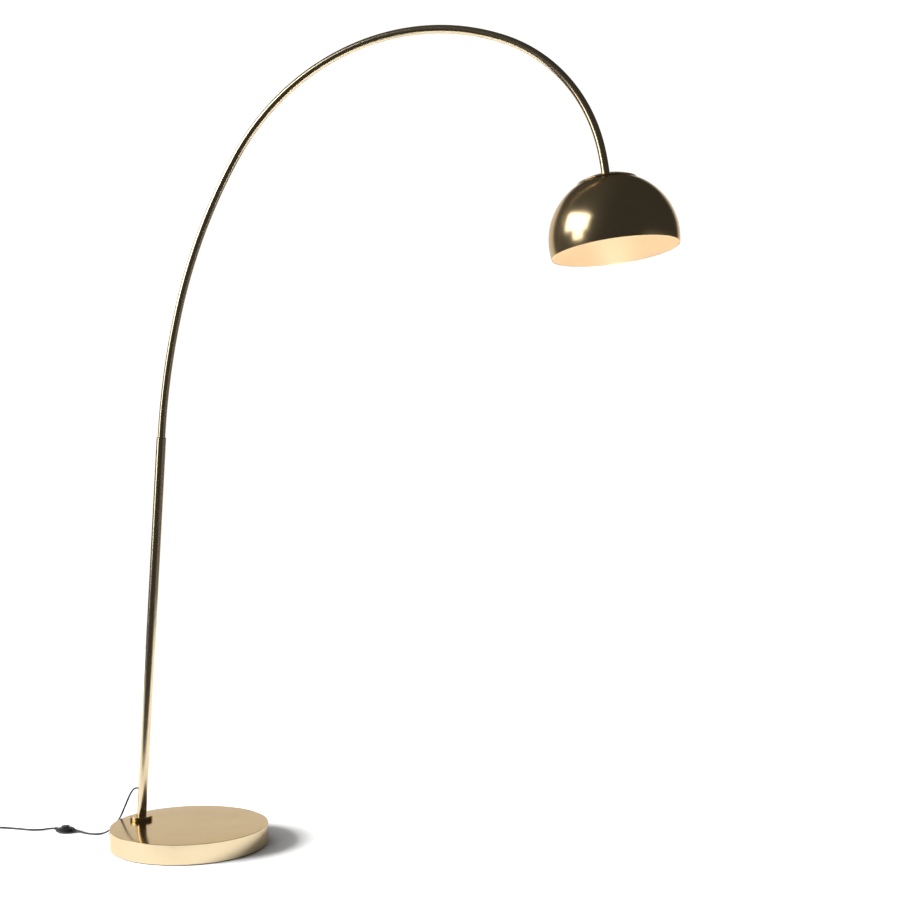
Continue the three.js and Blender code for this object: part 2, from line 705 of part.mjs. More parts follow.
function makePlug() {
  const frame = place(group, plug.x, plug.y, plug.thickness / 2 + plug.floorGap);
  const rear = -plug.reliefLength;
  node(frame, 'plug_strain_relief', turned([
    [0, rear],
    [plug.reliefTip, rear],
    [plug.reliefRoot, -GAP],
    [0, -GAP],
  ], 16).rotateY(Math.PI / 2), rubber);
  const outline = new THREE.Shape();
  const half = plug.width / 2;
  const nose = plug.noseWidth / 2;
  outline.moveTo(0, -nose);
  outline.lineTo(plug.shoulder, -half);
  outline.lineTo(plug.length, -half);
  outline.lineTo(plug.length, half);
  outline.lineTo(plug.shoulder, half);
  outline.lineTo(0, nose);
  outline.closePath();
  const body = new THREE.ExtrudeGeometry(outline, { depth: plug.thickness, bevelEnabled: false });
  node(frame, 'plug_body', body.translate(0, 0, -plug.thickness / 2), blackPlastic);
  for (const [side, name] of [[1, 'plug_pin_1'], [-1, 'plug_pin_2']]) {
    const pin = rod(plug.pinRadius, plug.length + GAP, plug.length + GAP + plug.pinLength, 16);
    node(frame, name, pin.rotateY(Math.PI / 2).translate(0, (side * plug.pinPitch) / 2, 0), steel);
  }
}

// ---- assembly ---------------------------------------------------------------------------------------------
const footFrame = place(group, poleX, 0, base.height);
const poleFrame = place(footFrame, 0, 0, 0, lean);
const capTop = dome.radius + cap.standOff + cap.wall + GAP; // the arc tube's end above the dome's centre
const underside = dome.radius - dome.wall - seatRun - dish.pad - GAP - dish.wall;
const washerLevel = underside * Math.cos(Math.asin(seatWasher.radius / underside)) - GAP;
const holderTop = washerLevel - seatWasher.thickness - lockNut.height - 2 * GAP;

makeBase();
makePole(footFrame, poleFrame);
const arcEnd = makeArc(poleFrame, capTop - holderTop + holder.wall + leadInHolder);
const centreX = arcEnd.place.x + capTop * Math.sin(arcEnd.heading);
const centreZ = arcEnd.place.y + capTop * Math.cos(arcEnd.heading);
const shade = place(poleFrame, centreX, 0, centreZ, arcEnd.heading - Math.PI);
makeShade(shade, capTop, holderTop);
makeLampholder(shade, holderTop);
makeSwitch();
makeCord();
makePlug();

export default group;
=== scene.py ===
"""Arc floor lamp: fine meshes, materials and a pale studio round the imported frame. Metres, +Z up."""
import json
import math

import bmesh
import bpy
from mathutils import Matrix, Vector


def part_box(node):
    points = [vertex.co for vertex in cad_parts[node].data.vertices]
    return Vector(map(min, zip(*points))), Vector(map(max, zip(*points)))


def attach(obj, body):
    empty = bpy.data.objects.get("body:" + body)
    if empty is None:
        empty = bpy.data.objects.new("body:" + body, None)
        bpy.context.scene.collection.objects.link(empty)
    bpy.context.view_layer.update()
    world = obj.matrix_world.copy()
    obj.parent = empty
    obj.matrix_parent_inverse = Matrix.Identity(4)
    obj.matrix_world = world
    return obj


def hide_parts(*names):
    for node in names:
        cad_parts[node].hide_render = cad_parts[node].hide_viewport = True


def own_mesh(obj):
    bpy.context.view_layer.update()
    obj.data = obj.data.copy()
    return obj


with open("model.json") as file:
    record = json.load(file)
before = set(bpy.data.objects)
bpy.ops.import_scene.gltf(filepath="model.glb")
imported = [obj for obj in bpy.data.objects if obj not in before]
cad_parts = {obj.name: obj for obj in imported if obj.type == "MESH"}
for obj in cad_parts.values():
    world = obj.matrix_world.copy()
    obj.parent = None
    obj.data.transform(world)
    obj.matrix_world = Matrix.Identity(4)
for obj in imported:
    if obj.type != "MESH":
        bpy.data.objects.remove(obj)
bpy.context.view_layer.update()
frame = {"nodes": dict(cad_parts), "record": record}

MM = 0.001
DEG = math.pi / 180

# ---- sizes, as in the frame ------------------------------------------------------------------------------
BASE_RADIUS = 200 * MM
BASE_HEIGHT = 50 * MM
BASE_WALL = 1.5 * MM
PAD_RADIUS = 198 * MM
PAD_THICKNESS = 2 * MM
POLE_X = -144.8 * MM
POLE_LEAN = 3.1 * DEG
POLE_RADIUS = 12.5 * MM
POLE_LENGTH = 995.5 * MM
POLE_START = 7.6 * MM
TUBE_WALL = 1.2 * MM
COLLAR_RADIUS = 28.5 * MM
COLLAR_HEIGHT = 10 * MM
COLLAR_WALL = 1.6 * MM
STUD_HOLE = 6.2 * MM
OUTLET_HEIGHT = 79.2 * MM
OUTLET_RADIUS = 4.5 * MM
GUIDE_LENGTH = 60 * MM
GUIDE_LIP = 1.2 * MM
GRUB_DEPTH = 22 * MM
GRUB_HOLE = 2.15 * MM
ARM_RADIUS = 10 * MM
ARM_INSERT = 260 * MM
ARM_BENDS = ((1793, 10.6), (1292, 19.0), (586, 80.9), (407, 54.0), (647, 5.25))  # radius in mm, degrees
NECK_END = 154.3 * MM  # the arc's end above the shade's centre
DOME_RADIUS = 151 * MM
DOME_WALL = 1.2 * MM
DOME_OPENING = 28.3 * MM
DOME_HOLE = 15.4  # degrees off the shade's axis
COAT_THICKNESS = 0.12 * MM
CAP_RADIUS = 154 * MM
CAP_WALL = 1.2 * MM
CAP_HOLE = 2.05  # degrees off the shade's axis, as the cap's angle
CAP_ANGLE = 27
CAP_LIP_GAP = 0.45  # between the cap's rolled rim and the bowl, in mm
DISH_RADIUS = 148.2 * MM
DISH_WALL = 1.4 * MM
DISH_HOLE = 4.72
DISH_ANGLE = 27.5
RING_RADIUS = 149.3 * MM
RING_WALL = 0.8 * MM
RING_ANGLE = 26
BULB_GLOBE = 27.5  # mm
GAP = 0.3 * MM
CORD_DIAMETER = 5 * MM
SWITCH_X = -371 * MM
SWITCH_Y = -13.5 * MM
SWITCH_RIM = 6.5 * MM
SPRING_RADIUS = 4  # mm, as the spring's wire radius
SPRING_WIRE = 0.4
SPRING_TURNS = 4
SPRING_STEPS = 24
PLUG_X = -609.5 * MM
PLUG_Y = -139.6 * MM
PLUG_Z = 7 * MM


# ---- camera ------------------------------------------------------------------------------------------------
CAMERA_PLACE = (1.815, -2.976, 0.919)
CAMERA_LOOK = (-0.3470, 0.9375, 0.0272)
LENS = 52.85  # mm, on a sensor 36 mm wide


def make_camera():
    data = bpy.data.cameras.new("view")
    data.lens = LENS
    data.sensor_width = 36
    data.clip_start = 0.05
    data.clip_end = 200
    camera = bpy.data.objects.new("view", data)
    bpy.context.scene.collection.objects.link(camera)
    camera.location = CAMERA_PLACE
    camera.rotation_mode = "QUATERNION"
    camera.rotation_quaternion = Vector(CAMERA_LOOK).to_track_quat("-Z", "Y")
    bpy.context.scene.camera = camera


make_camera()

# ---- cords -------------------------------------------------------------------------------------------------
POLE_TO_SWITCH = (
    (-154.5, 0, 129.8), (-160, 0, 129.9), (-167.5, 0, 127.4), (-176, 0, 118), (-184, 0, 103.5),
    (-192, 0, 86.5), (-200.5, -0.2, 68), (-209.5, -0.6, 50), (-221, -1.5, 32.5), (-235, -3.6, 18),
    (-251, -7, 8), (-268, -11.4, 3.4), (-287, -14.6, 2.6), (-305, -14.8, 2.9), (-321, -13.8, 4.6),
    (-336, -13.5, 6.5),
)
SWITCH_TO_COIL = (
    (-406, -13.5, 6.5), (-415, -14, 5.8), (-425, -16.6, 4.2), (-435, -21.4, 3), (-447, -28.6, 2.6),
    (-460, -34.4, 2.6), (-476, -37, 2.6), (-496, -37.6, 2.6), (-520, -39.4, 2.6), (-545, -42.6, 2.6),
    (-566, -44.8, 2.6), (-586, -46.2, 2.6), (-606, -47, 2.6), (-625, -47, 2.6),
)
COIL_TO_PLUG = (
    (-671.6, -88, 2.6), (-672.2, -99, 2.6), (-671, -112, 2.7), (-665.5, -124.5, 3.6), (-656, -133.6, 5),
    (-645, -138.4, 6.4), (-635, -139.6, 7),
)
COIL_CENTRE = (-632, -86)
COIL_TURNS = (  # radius and height of each turn
    (34, 2.6), (29, 2.6), (24, 2.6),
    (24, 7.6), (29, 7.6), (34, 7.6),
    (24, 12.6), (29, 12.6), (34, 12.6),
)
COIL_START = 90  # degrees, seen from above
COIL_OUTSIDE = 39.4  # radius where the lead runs in and out
COIL_LEAVES = 86  # degrees past the last whole turn
COIL_STEPS = 36  # points in a turn


def smooth(t):
    t = min(max(t, 0), 1)
    return t * t * (3 - 2 * t)


def through(points, per_span=6):
    """A smooth line through the points, as a centripetal Catmull-Rom spline."""
    p = [Vector(q) for q in points]
    p = [2 * p[0] - p[1], *p, 2 * p[-1] - p[-2]]
    line = []
    for a, b, c, d in zip(p, p[1:], p[2:], p[3:]):
        t1 = (b - a).length ** 0.5
        t2 = t1 + (c - b).length ** 0.5
        t3 = t2 + (d - c).length ** 0.5
        for i in range(per_span):
            t = t1 + (t2 - t1) * i / per_span
            ab = a.lerp(b, t / t1)
            bc = b.lerp(c, (t - t1) / (t2 - t1))
            cd = c.lerp(d, (t - t2) / (t3 - t2))
            line.append(ab.lerp(bc, t / t2).lerp(bc.lerp(cd, (t - t1) / (t3 - t1)), (t - t1) / (t2 - t1)))
    return [*line, p[-2]]


def coil_points():
    """The coil's turns, wound anticlockwise from outside: each turn eases to its own radius and height."""
    places = [(COIL_OUTSIDE, COIL_TURNS[0][1]), *COIL_TURNS, (COIL_OUTSIDE, COIL_TURNS[0][1])]
    points = []
    last = len(COIL_TURNS) * COIL_STEPS + round(COIL_LEAVES / 360 * COIL_STEPS)
    for i in range(1, last):
        turn, step = divmod(i, COIL_STEPS)
        (r0, z0), (r1, z1) = places[turn], places[turn + 1]
        out = smooth(4 * step / COIL_STEPS)
        level = smooth(4.5 * step / COIL_STEPS - (turn == len(COIL_TURNS)) * 0.1)
        radius, z = r0 + (r1 - r0) * out, z0 + (z1 - z0) * level
        a = (COIL_START + 360 * i / COIL_STEPS) * DEG
        points.append((COIL_CENTRE[0] + radius * math.cos(a), COIL_CENTRE[1] + radius * math.sin(a), z))
    return points


def make_cord(name, line):
    """A round cord along a line in millimetres. Returns its object and length."""
    curve = bpy.data.curves.new(name, "CURVE")
    curve.dimensions = "3D"
    curve.bevel_depth = CORD_DIAMETER / 2
    curve.bevel_resolution = 4
    curve.use_fill_caps = True
    spline = curve.splines.new("POLY")
    spline.points.add(len(line) - 1)
    for point, q in zip(spline.points, line):
        point.co = (*(q * MM), 1)
    spline.use_smooth = True
    cord = bpy.data.objects.new(name, curve)
    bpy.context.scene.collection.objects.link(cord)
    return cord, sum((b - a).length for a, b in zip(line, line[1:])) * MM


upper_lead, upper_length = make_cord("lead_to_switch", through(POLE_TO_SWITCH))
lower_line = through(SWITCH_TO_COIL + tuple(coil_points()) + COIL_TO_PLUG, 3)
lower_lead, lower_length = make_cord("lead_to_plug", lower_line)


# ---- places ------------------------------------------------------------------------------------------------
foot_place = Matrix.Translation((POLE_X, 0, BASE_HEIGHT))
pole_place = foot_place @ Matrix.Rotation(POLE_LEAN, 4, "Y")


def arc_line(step=1.5):
    """The arc's centre line in the pole's frame, as [x, z, heading]. The step is in degrees of bend."""
    x, z, heading = 0.0, POLE_LENGTH - ARM_INSERT, 0.0
    line = [(x, z, heading)]
    z = POLE_LENGTH
    for radius_mm, degrees in ARM_BENDS:
        radius = radius_mm * MM
        count = math.ceil(degrees / step)
        for i in range(count):
            line.append((x, z, heading))
            after = heading + degrees * DEG / count
            x += radius * (math.cos(heading) - math.cos(after))
            z += radius * (math.sin(after) - math.sin(heading))
            heading = after
    return [*line, (x, z, heading)]


arc_path = arc_line()
end_x, end_z, end_heading = arc_path[-1]
centre_x = end_x + NECK_END * math.sin(end_heading)
centre_z = end_z + NECK_END * math.cos(end_heading)
shade_turn = Matrix.Rotation(end_heading - math.pi, 4, "Y")
shade_place = pole_place @ Matrix.Translation((centre_x, 0, centre_z)) @ shade_turn


# ---- materials ---------------------------------------------------------------------------------------------
def add_node(tree, kind, inputs=None, **settings):
    """A node with its settings, and its inputs linked to sockets or set to values."""
    node = tree.nodes.new(kind)
    for key, value in settings.items():
        setattr(node, key, value)
    for key, value in (inputs or {}).items():
        if isinstance(value, bpy.types.NodeSocket):
            tree.links.new(value, node.inputs[key])
        else:
            node.inputs[key].default_value = value
    return node


class Nodes:
    """A material's nodes, made and linked in one call each."""

    def __init__(self, name):
        self.material = bpy.data.materials.new(name)
        self.material.use_nodes = True
        self.tree = self.material.node_tree
        self.shader = self.tree.nodes["Principled BSDF"]
        self.place = self.add("ShaderNodeTexCoord").outputs["Object"]

    def add(self, kind, inputs=None, **settings):
        return add_node(self.tree, kind, inputs, **settings)

    def set(self, **values):
        for key, value in values.items():
            socket = self.shader.inputs[key.replace("_", " ")]
            if isinstance(value, bpy.types.NodeSocket):
                self.tree.links.new(value, socket)
            else:
                socket.default_value = value
        return self

    def noise(self, scale, detail=3.0, place=None, stretch=None, roughness=0.55):
        place = place or self.place
        if stretch:
            place = self.add("ShaderNodeMapping", {"Vector": place, "Scale": stretch}).outputs["Vector"]
        inputs = {"Vector": place, "Scale": scale, "Detail": detail, "Roughness": roughness}
        return self.add("ShaderNodeTexNoise", inputs).outputs["Fac"]

    def between(self, value, low, high, start=0.3, end=0.7):
        inputs = {"Value": value, "From Min": start, "From Max": end, "To Min": low, "To Max": high}
        return self.add("ShaderNodeMapRange", inputs, clamp=True).outputs["Result"]

    def math(self, operation, a, b):
        return self.add("ShaderNodeMath", {0: a, 1: b}, operation=operation).outputs[0]

    def mix(self, factor, a, b):
        node = self.add("ShaderNodeMix", data_type="RGBA")
        for socket, value in zip((node.inputs[0], node.inputs[6], node.inputs[7]), (factor, a, b)):
            if isinstance(value, bpy.types.NodeSocket):
                self.tree.links.new(value, socket)
            else:
                socket.default_value = value
        return node.outputs[2]

    def bump(self, height, strength, distance, under=None):
        inputs = {"Height": height, "Strength": strength, "Distance": distance}
        if under:
            inputs["Normal"] = under
        return self.add("ShaderNodeBump", inputs).outputs["Normal"]

    def around_axis(self, origin, tilt):
        """Distance from an axis and height along it, for marks that run round it. Tilt is about Y."""
        inputs = {"Vector": self.place, "Location": origin, "Rotation": (0, tilt, 0)}
        local = self.add("ShaderNodeMapping", inputs, vector_type="TEXTURE").outputs["Vector"]
        parts = self.add("ShaderNodeSeparateXYZ", {"Vector": local})
        x, y = parts.outputs["X"], parts.outputs["Y"]
        square = self.math("ADD", self.math("MULTIPLY", x, x), self.math("MULTIPLY", y, y))
        radius = self.math("SQRT", square, 0.5)
        return self.add("ShaderNodeCombineXYZ", {"X": radius, "Y": 0.0, "Z": parts.outputs["Z"]}).outputs[0]

    def edges(self, low=0.52, high=0.62):
        point = self.add("ShaderNodeNewGeometry").outputs["Pointiness"]
        return self.between(point, 0.0, 1.0, low, high)


def rgb(r, g, b):
    return (r, g, b, 1)


WHITE = rgb(1, 1, 1)


def metal(name, tone, shade, rough, axis=None, grain_scale=900, grain=0.05, scuff=0.05, rubbed=None,
          edge=WHITE):
    """Plated or polished metal: two close tones, cloudy gloss, fine drawn or spun lines and rubbed edges."""
    n = Nodes(name)
    clouds = n.noise(7, 4)
    colour = n.mix(n.between(clouds, 0, 1), tone, shade)
    if rubbed:
        colour = n.mix(n.math("MULTIPLY", n.edges(), 0.5), colour, rubbed)
    smears = n.noise(28, 5, stretch=(1, 1, 0.35))
    scuffs = n.noise(420, 2, stretch=(1, 0.2, 0.06))
    gloss = n.between(smears, rough[0], rough[1])
    gloss = n.math("ADD", gloss, n.between(scuffs, 0, scuff, 0.66, 0.78))
    if axis:
        lines = n.noise(grain_scale, 3, place=n.around_axis(*axis), stretch=(2.4, 1, 2.4))
    else:
        lines = n.noise(grain_scale, 3, stretch=(1, 1, 0.02))
    normal = n.bump(lines, grain, 0.00001)
    normal = n.bump(n.noise(30, 2), 0.006, 0.0004, normal)
    return n.set(Base_Color=colour, Metallic=1.0, Roughness=gloss, Normal=normal, Specular_Tint=edge).material


def moulded(name, tone, shade, rough, grain_scale=1800, grain=0.12, dust=None, specular=0.5):
    """Moulded plastic or rubber: eroded grain, cloudy gloss and a little dust in scattered specks."""
    n = Nodes(name)
    colour = n.mix(n.between(n.noise(60, 4), 0, 1), tone, shade)
    if dust:
        specks = n.math("MULTIPLY", n.noise(240, 4), n.noise(35, 3))
        colour = n.mix(n.between(specks, 0, 0.5, 0.3, 0.46), colour, dust)
    gloss = n.between(n.noise(90, 4), rough[0], rough[1])
    cells = n.add("ShaderNodeTexVoronoi", {"Vector": n.place, "Scale": grain_scale}).outputs["Distance"]
    normal = n.bump(cells, grain, 0.00008)
    normal = n.bump(n.noise(grain_scale / 4, 4), grain, 0.0001, normal)
    n.set(Base_Color=colour, Roughness=gloss, Normal=normal, Specular_IOR_Level=specular)
    return n.material


def enamel(name, tone, shade, rough, orange_peel=0.1, speck=None, coat=0.0):
    """Sprayed enamel or glaze: faint tone drift, orange peel, and specks where given."""
    n = Nodes(name)
    colour = n.mix(n.between(n.noise(14, 4), 0, 1), tone, shade)
    if speck:
        dots = n.add("ShaderNodeTexVoronoi", {"Vector": n.place, "Scale": 420.0}).outputs["Distance"]
        colour = n.mix(n.between(dots, 0.35, 0, 0.06, 0.12), colour, speck)
    gloss = n.between(n.noise(40, 3), rough[0], rough[1])
    normal = n.bump(n.noise(260, 2), orange_peel, 0.0003)
    n.set(Base_Color=colour, Roughness=gloss, Normal=normal, Coat_Weight=coat, Coat_Roughness=0.12)
    return n.material


def cast(name, tone, shade):
    """Cast mineral filler: pores, grains and patches."""
    n = Nodes(name)
    grains = n.add("ShaderNodeTexVoronoi", {"Vector": n.place, "Scale": 300.0})
    colour = n.mix(n.between(n.noise(30, 6), 0, 1), tone, shade)
    colour = n.mix(n.between(grains.outputs["Distance"], 0.4, 0, 0.0, 0.25), colour, rgb(0.2, 0.19, 0.18))
    normal = n.bump(n.noise(180, 6), 0.6, 0.001)
    normal = n.bump(grains.outputs["Distance"], 0.4, 0.0006, normal)
    gloss = n.between(n.noise(80, 3), 0.85, 0.97)
    return n.set(Base_Color=colour, Roughness=gloss, Normal=normal).material


def cable(name, tone, shade):
    """A soft cable sheath: faint extrusion lines, a cloudy sheen and fine grain."""
    n = Nodes(name)
    colour = n.mix(n.between(n.noise(45, 4), 0, 1), tone, shade)
    gloss = n.between(n.noise(120, 3), 0.38, 0.55)
    normal = n.bump(n.noise(1500, 3), 0.15, 0.0001)
    normal = n.bump(n.noise(300, 2), 0.1, 0.0002, normal)
    n.set(Base_Color=colour, Roughness=gloss, Normal=normal, Specular_IOR_Level=0.4)
    return n.material


def glowing(name):
    """Opal glass with the lamp lit: warm light, a shade warmer in the cloudy parts of the glass."""
    n = Nodes(name)
    clouds = n.noise(50, 3)
    colour = n.mix(n.between(clouds, 0, 1), rgb(1.0, 0.8, 0.62), rgb(1.0, 0.78, 0.59))
    gloss = n.between(n.noise(200, 3), 0.12, 0.25)
    n.set(Base_Color=rgb(0.95, 0.92, 0.85), Roughness=gloss)
    n.set(Emission_Color=colour, Emission_Strength=BULB_GLOW)
    return n.set(Normal=n.bump(n.noise(90, 2), 0.05, 0.0003)).material


BULB_GLOW = 14.8
BRASS = rgb(0.604, 0.462, 0.268)
BRASS_SHADE = rgb(0.566, 0.428, 0.242)
# A paler copy of the brass tone: painted highlight, standing in for the washed-out bright reflections on the
# tubes and the base's rim
BRASS_PALE = rgb(0.612, 0.502, 0.335)
BRASS_PALE_SHADE = rgb(0.58, 0.472, 0.31)
BRASS_RUBBED = rgb(0.74, 0.62, 0.42)
SHADE_AXIS = (shade_place.translation, POLE_LEAN + end_heading - math.pi)
BRASS_EDGE = rgb(0.86, 0.78, 0.67)  # keeps the reflections warm at a grazing angle
plated = {"rubbed": BRASS_RUBBED, "edge": BRASS_EDGE}
BASE_AXIS = ((0, 0, 0), 0)
brass_base = metal("brass_spun_base", BRASS, BRASS_SHADE, (0.13, 0.19), axis=BASE_AXIS, **plated)
brass_collar = metal(
    "brass_spun_collar", BRASS, BRASS_SHADE, (0.13, 0.19), axis=((POLE_X, 0, 0), 0), grain=0.02, **plated
)
brass_shade = metal(
    "brass_spun_shade", BRASS, BRASS_SHADE, (0.17, 0.22), axis=SHADE_AXIS, grain=0.02, **plated
)
# The drawn tubes take the paler brass: painted highlight
brass_drawn = metal(
    "brass_drawn", BRASS_PALE, BRASS_PALE_SHADE, (0.172, 0.188), grain=0.01, scuff=0.01, edge=BRASS_EDGE
)
# The base's rim takes a paler copy of the brass: painted highlight for the bright floor it reflects
brass_rim_highlight = metal("brass_rim_painted_highlight", BRASS_PALE, BRASS_PALE_SHADE, (0.15, 0.21), axis=BASE_AXIS, **plated)
contact_brass = metal("contact_brass", rgb(0.66, 0.5, 0.24), rgb(0.5, 0.36, 0.16), (0.25, 0.4))
zinc = metal("zinc_plated_steel", rgb(0.56, 0.56, 0.55), rgb(0.4, 0.4, 0.41), (0.28, 0.42), grain=0.12)
nickel = metal("nickel_plated", rgb(0.68, 0.66, 0.62), rgb(0.55, 0.53, 0.5), (0.15, 0.26))
ballast = cast("cast_mineral", rgb(0.36, 0.35, 0.33), rgb(0.23, 0.225, 0.21))
pad = moulded("foam_rubber", rgb(0.014, 0.0125, 0.011), rgb(0.024, 0.021, 0.019), (0.82, 0.95), 900, 0.4)
plastic = moulded(
    "black_plastic", rgb(0.0075, 0.0075, 0.008), rgb(0.014, 0.014, 0.014), (0.34, 0.48),
    dust=rgb(0.05, 0.048, 0.045),
)
nylon = moulded("dark_nylon", rgb(0.02, 0.018, 0.016), rgb(0.035, 0.032, 0.028), (0.5, 0.66), 1200, 0.08)
rubber = moulded("black_rubber", rgb(0.01, 0.01, 0.01), rgb(0.02, 0.02, 0.02), (0.55, 0.72), 1400, 0.2)
sheath = cable("cord_sheath", rgb(0.018, 0.018, 0.019), rgb(0.03, 0.03, 0.031))
inside_white = enamel("warm_white_enamel", rgb(0.86, 0.78, 0.64), rgb(0.83, 0.745, 0.6), (0.3, 0.38))
glaze = enamel(
    "glazed_ceramic", rgb(0.8, 0.77, 0.7), rgb(0.72, 0.69, 0.62), (0.2, 0.3),
    orange_peel=0.06, speck=rgb(0.5, 0.46, 0.4), coat=0.4,
)
opal = glowing("lit_opal_glass")


# ---- mesh tools --------------------------------------------------------------------------------------------
def finish_mesh(name, vertices, faces, material, place=None, sharp=32):
    """A smooth-shaded object from plain vertices and faces, with its faces turned outwards."""
    mesh = bpy.data.meshes.new(name)
    mesh.from_pydata([tuple(v) for v in vertices], [], faces)
    if place:
        mesh.transform(place)
    bm = bmesh.new()
    bm.from_mesh(mesh)
    bmesh.ops.recalc_face_normals(bm, faces=bm.faces)
    bm.to_mesh(mesh)
    bm.free()
    mesh.shade_smooth()
    mesh.set_sharp_from_angle(angle=sharp * DEG)
    mesh.materials.append(material)
    piece = bpy.data.objects.new(name, mesh)
    bpy.context.scene.collection.objects.link(piece)
    return piece


def rounded(points, steps=5):
    """An outline in millimetres whose corners are rounded where a third number gives a radius."""
    out = []
    for i, point in enumerate(points):
        here = Vector(point[:2])
        if len(point) < 3:
            out.append(here)
            continue
        before, after = Vector(points[i - 1][:2]) - here, Vector(points[(i + 1) % len(points)][:2]) - here
        half = before.angle(after) / 2
        back = min(point[2] / math.tan(half), 0.49 * before.length, 0.49 * after.length)
        a, b = here + before.normalized() * back, here + after.normalized() * back
        centre = here + (before.normalized() + after.normalized()).normalized() * (back / math.cos(half))
        u, v = a - centre, b - centre
        turn = u.angle(v)
        for k in range(steps + 1):
            t = k / steps
            out.append(centre + (u * math.sin((1 - t) * turn) + v * math.sin(t * turn)) / math.sin(turn))
    return out


def on_sphere(radius, start, end, steps):
    """[radius, z] points on a sphere from one angle off +Z to another, in degrees."""
    angles = [(start + (end - start) * i / steps) * DEG for i in range(steps + 1)]
    return [Vector((radius * math.sin(a), radius * math.cos(a))) for a in angles]


def turned(name, outline, material, place=None, sides=96, ring=False, scale=MM, sharp=32):
    """A body turned about Z from [radius, z] points. A ring's outline closes on itself."""
    vertices, rows = [], []
    for r, z in ((p[0] * scale, p[1] * scale) for p in outline):
        if r < 1e-9:
            rows.append([len(vertices)] * sides)
            vertices.append((0, 0, z))
            continue
        rows.append(list(range(len(vertices), len(vertices) + sides)))
        angles = [2 * math.pi * j / sides for j in range(sides)]
        vertices += [(r * math.cos(a), r * math.sin(a), z) for a in angles]
    faces = []
    for low, high in zip(rows, rows[1:] + ([rows[0]] if ring else [])):
        for j in range(sides):
            k = (j + 1) % sides
            face = list(dict.fromkeys((low[j], low[k], high[k], high[j])))
            if len(face) > 2:
                faces.append(face)
    return finish_mesh(name, vertices, faces, material, place, sharp)


def lofted(name, rings, material, place=None, closed=False, sharp=32):
    """A skin over rings of points of equal count, with flat ends unless it closes on itself."""
    count = len(rings[0])
    vertices = [v for ring in rings for v in ring]
    faces = []
    pairs = list(zip(range(len(rings)), range(1, len(rings)))) + ([(len(rings) - 1, 0)] if closed else [])
    for a, b in pairs:
        for j in range(count):
            k = (j + 1) % count
            faces.append((a * count + j, a * count + k, b * count + k, b * count + j))
    if not closed:
        faces.append(tuple(range(count)))
        faces.append(tuple(range((len(rings) - 1) * count, len(rings) * count)))
    return finish_mesh(name, vertices, faces, material, place, sharp)


def pipe(name, line, radius, wall, material, place, sides=48):
    """A pipe along [x, z, heading] points in the XZ plane, with softened ends."""
    skin = []
    soft = wall * 0.3

    def ring(point, r, along=0.0):
        x, z, heading = point
        out = Vector((math.cos(heading), 0, -math.sin(heading)))
        tangent = Vector((math.sin(heading), 0, math.cos(heading)))
        centre = Vector((x, 0, z)) + tangent * along
        angles = [2 * math.pi * j / sides for j in range(sides)]
        return [centre + out * (r * math.cos(a)) + Vector((0, r * math.sin(a), 0)) for a in angles]

    inner = radius - wall
    skin.append(ring(line[0], radius - soft))
    skin.append(ring(line[0], radius, soft))
    skin += [ring(p, radius) for p in line[1:-1]]
    skin.append(ring(line[-1], radius, -soft))
    skin.append(ring(line[-1], radius - soft))
    skin.append(ring(line[-1], inner))
    skin += [ring(p, inner) for p in reversed(line[1:-1])]
    skin.append(ring(line[0], inner))
    return lofted(name, skin, material, place, closed=True)


def carve(piece, *cutters):
    """Cuts the cutters out of the piece, and removes them."""
    for cutter in cutters:
        modifier = piece.modifiers.new("cut", "BOOLEAN")
        modifier.object = cutter
        modifier.solver = "EXACT"
    bpy.context.view_layer.update()
    evaluated = piece.evaluated_get(bpy.context.evaluated_depsgraph_get())
    mesh = bpy.data.meshes.new_from_object(evaluated)
    piece.modifiers.clear()
    piece.data = mesh
    for cutter in cutters:
        bpy.data.objects.remove(cutter)
    mesh.set_sharp_from_angle(angle=32 * DEG)
    return piece


def settle(piece, body, slot, *nodes):
    """The piece rides on the body and stands for the nodes, which are hidden. The slot is not used."""
    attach(piece, body)
    if nodes:
        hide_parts(*nodes)
    return piece


# ---- base --------------------------------------------------------------------------------------------------
def make_base():
    radius, thickness = PAD_RADIUS / MM, PAD_THICKNESS / MM
    outline = rounded([(0, 0), (radius, 0, 0.5), (radius, thickness, 0.5), (0, thickness)])
    disc = turned("floor_pad_disc", outline, pad, sides=160)
    settle(disc, "base", "pad_rubber", "floor_pad")
    outer, inner = BASE_RADIUS / MM, (BASE_RADIUS - BASE_WALL) / MM
    top, roof, rim = BASE_HEIGHT / MM, (BASE_HEIGHT - BASE_WALL) / MM, PAD_THICKNESS / MM
    outline = rounded([
        (0, roof), (inner, roof, 1.5), (inner, rim), (outer, rim, 0.6), (outer, top, 0.8),
        (outer * 0.66, top), (outer * 0.33, top), (0, top),
    ], 8)
    shell = turned("base_shell", outline, brass_base, sides=288)
    hole = STUD_HOLE / MM
    hole_outline = [(0, top - 10), (hole, top - 10), (hole, top + 10), (0, top + 10)]
    carve(shell, turned("stud_cut", hole_outline, brass_base, Matrix.Translation((POLE_X, 0, 0)), 48))
    # The rim's side faces take the paler brass, as painted highlight
    shell.data.materials.append(brass_rim_highlight)
    for face in shell.data.polygons:
        if face.center.z < (BASE_HEIGHT - 1 * MM) and face.center.xy.length > BASE_RADIUS - BASE_WALL / 2:
            face.material_index = 1
    settle(shell, "base", "brass_finish", "base_cover")


